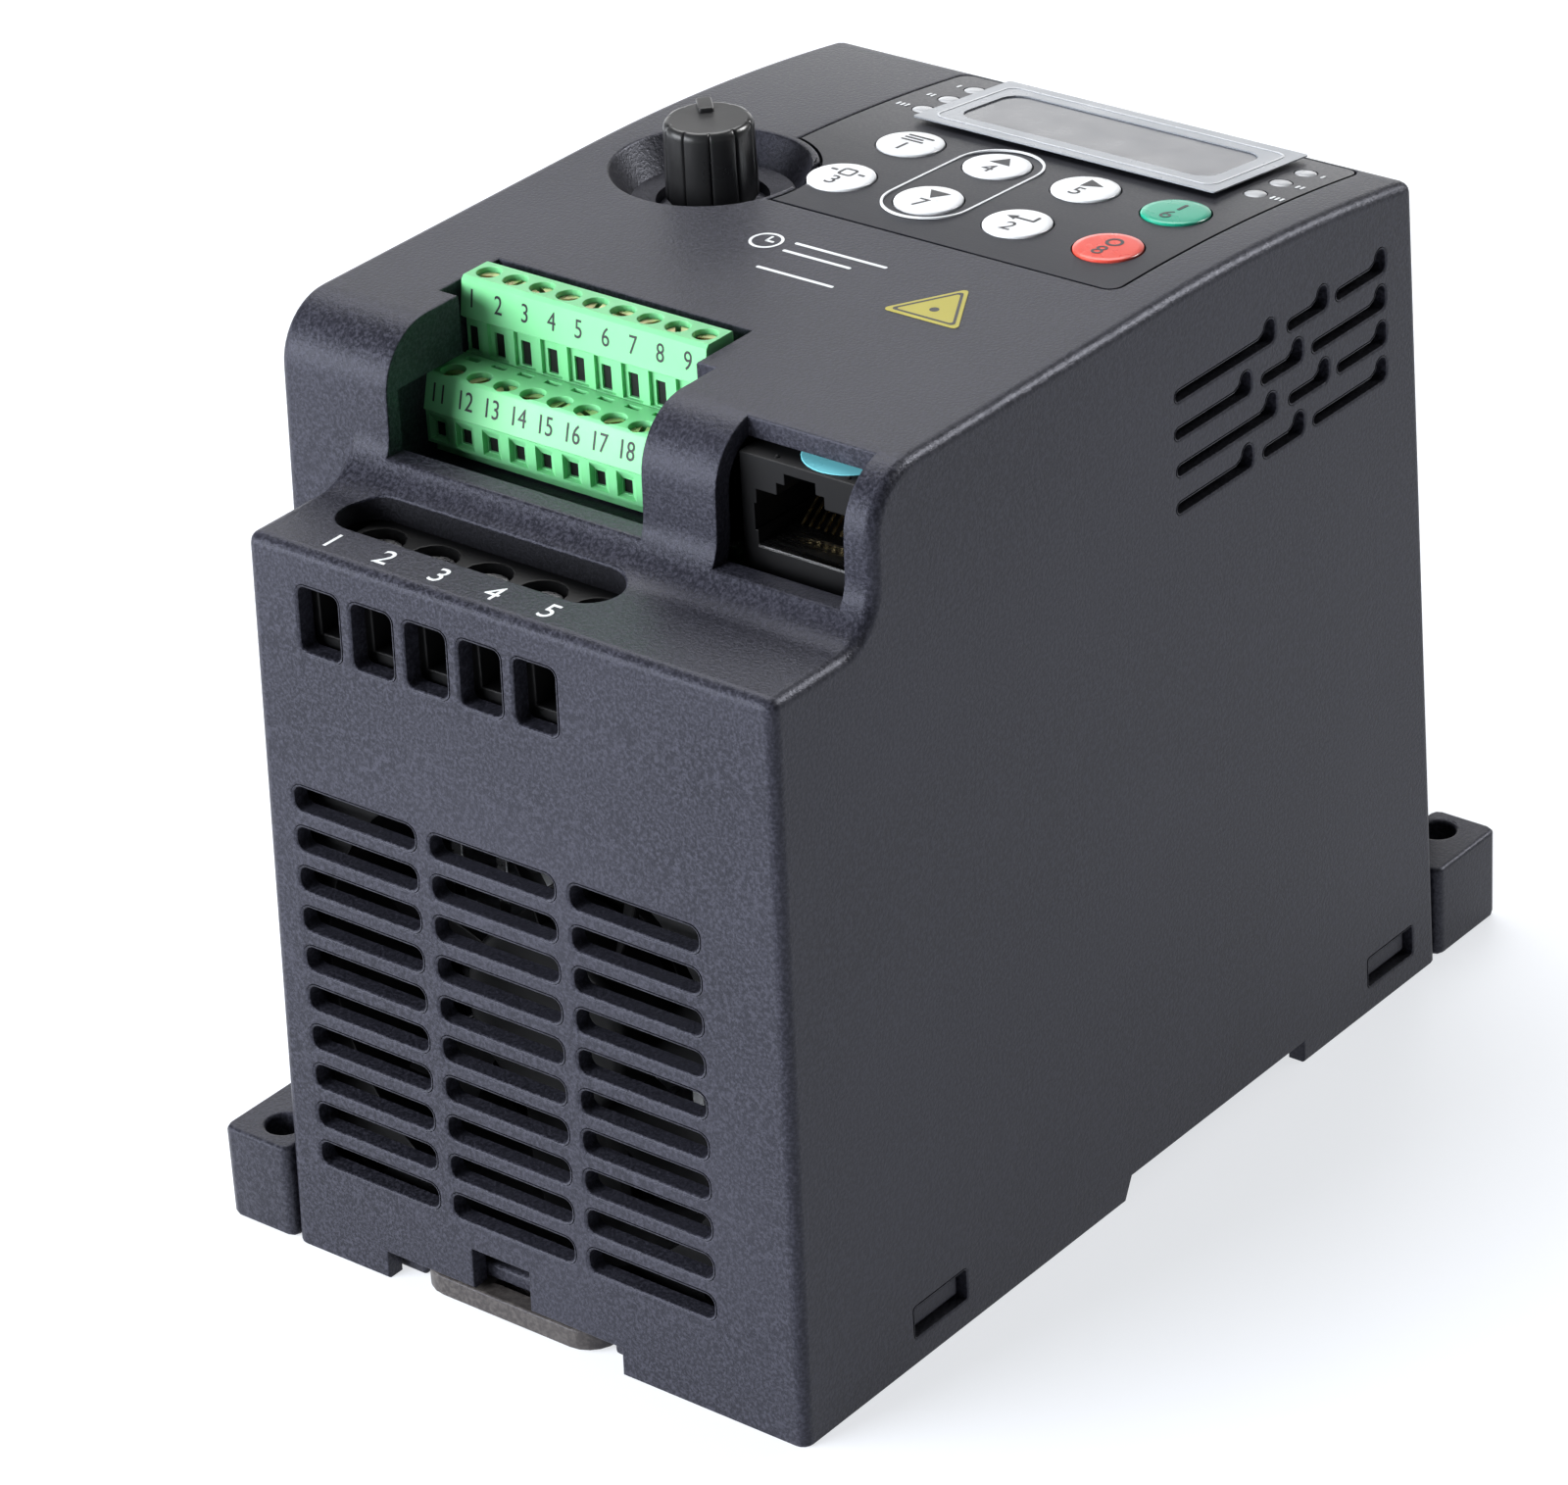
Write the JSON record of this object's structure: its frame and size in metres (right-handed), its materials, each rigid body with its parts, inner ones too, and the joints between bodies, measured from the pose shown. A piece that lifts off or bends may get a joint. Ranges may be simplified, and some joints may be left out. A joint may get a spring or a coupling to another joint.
{
  "type": "variable frequency drive",
  "caption": "Compact variable frequency drive with a keypad, digit display, speed knob, control and power terminals, network jack, cooling fan and DIN rail clip.",
  "frame": {"origin": "middle of the mounting face, at the bottom of the drive's box", "axes": "+Z out of the keypad, +Y towards the mains end along the drive's longest side, +X to the right across its shortest side"},
  "size_m": [0.084, 0.137, 0.1132],
  "materials": {
    "black_plastic": "fine spark-eroded texture",
    "clip_plastic": "satin",
    "gloss_black": "gloss",
    "green_plastic": "satin",
    "overlay_film": "fine texture",
    "clear_window": "smoked, polished",
    "frosted_film": "frosted",
    "white_key": "satin",
    "green_key": "satin",
    "red_key": "satin",
    "aluminium": "extruded",
    "steel": "zinc plated",
    "board_green": "solder mask",
    "component_black": "moulded",
    "capacitor_sleeve": "shrink sleeve",
    "copper_winding": "enamelled wire"
  },
  "bodies": {
    "housing": {"housing_cover": "black_plastic", "base": "black_plastic", "heatsink": "aluminium", "power_board": "board_green", "control_board": "board_green", "keypad_board": "board_green", "power_module": "component_black", "bus_capacitor_1": "capacitor_sleeve", "bus_capacitor_2": "capacitor_sleeve", "emc_choke": "copper_winding", "relay": "component_black", "board_header": "component_black", "potentiometer": "component_black", "output_terminals": "component_black", "mains_terminals": "component_black", "control_terminals_upper": "green_plastic", "control_terminals_lower": "green_plastic", "network_jack": "gloss_black", "fan_frame": "component_black", "keypad_overlay": "overlay_film", "display_module": "component_black", "display_window": "clear_window", "display_film": "frosted_film", "output_screw_1": "steel", "output_screw_2": "steel", "output_screw_3": "steel", "output_screw_4": "steel", "output_screw_5": "steel", "mains_screw_1": "steel", "mains_screw_2": "steel", "mains_screw_3": "steel", "fan_screw_1": "steel", "fan_screw_2": "steel", "fan_screw_3": "steel", "fan_screw_4": "steel", "status_light_left_1": "white_key", "status_light_left_2": "white_key", "status_light_left_3": "white_key", "status_light_right_1": "white_key", "status_light_right_2": "white_key", "status_light_right_3": "white_key"},
    "rail_clip": {"rail_clip": "clip_plastic"},
    "fan_rotor": {"fan_rotor": "component_black"},
    "speed_knob": {"speed_knob": "gloss_black"},
    "key_program": {"key_program": "white_key"},
    "key_up": {"key_up": "white_key"},
    "key_shift": {"key_shift": "white_key"},
    "key_run": {"key_run": "green_key"},
    "key_function": {"key_function": "white_key"},
    "key_down": {"key_down": "white_key"},
    "key_enter": {"key_enter": "white_key"},
    "key_stop": {"key_stop": "red_key"}
  },
  "joints": [
    {"name": "knob_turn", "type": "hinge", "parent": "housing", "child": "speed_knob", "pos_m": [-0.0243, 0.0071, 0.107], "axis": [0, 0, 1], "range_deg": [-180, 90]},
    {"name": "fan_spin", "type": "hinge", "parent": "housing", "child": "fan_rotor", "pos_m": [0.0012, -0.05625, 0.0362], "axis": [0, 1, 0], "continuous": true},
    {"name": "rail_clip_slide", "type": "slide", "parent": "housing", "child": "rail_clip", "axis": [0, -1, 0], "range_m": [0, 0.004]},
    {"name": "key_program_press", "type": "slide", "parent": "housing", "child": "key_program", "axis": [0, -0.0709, -0.9975], "range_m": [0, 0.0006], "stiffness_N_per_m": 2000},
    {"name": "key_up_press", "type": "slide", "parent": "housing", "child": "key_up", "axis": [0, -0.0709, -0.9975], "range_m": [0, 0.0006], "stiffness_N_per_m": 2000},
    {"name": "key_shift_press", "type": "slide", "parent": "housing", "child": "key_shift", "axis": [0, -0.0709, -0.9975], "range_m": [0, 0.0006], "stiffness_N_per_m": 2000},
    {"name": "key_run_press", "type": "slide", "parent": "housing", "child": "key_run", "axis": [0, -0.0709, -0.9975], "range_m": [0, 0.0006], "stiffness_N_per_m": 2000},
    {"name": "key_function_press", "type": "slide", "parent": "housing", "child": "key_function", "axis": [0, -0.0286, -0.9996], "range_m": [0, 0.0006], "stiffness_N_per_m": 2000},
    {"name": "key_down_press", "type": "slide", "parent": "housing", "child": "key_down", "axis": [0, -0.0286, -0.9996], "range_m": [0, 0.0006], "stiffness_N_per_m": 2000},
    {"name": "key_enter_press", "type": "slide", "parent": "housing", "child": "key_enter", "axis": [0, -0.0286, -0.9996], "range_m": [0, 0.0006], "stiffness_N_per_m": 2000},
    {"name": "key_stop_press", "type": "slide", "parent": "housing", "child": "key_stop", "axis": [0, -0.0286, -0.9996], "range_m": [0, 0.0006], "stiffness_N_per_m": 2000}
  ]
}
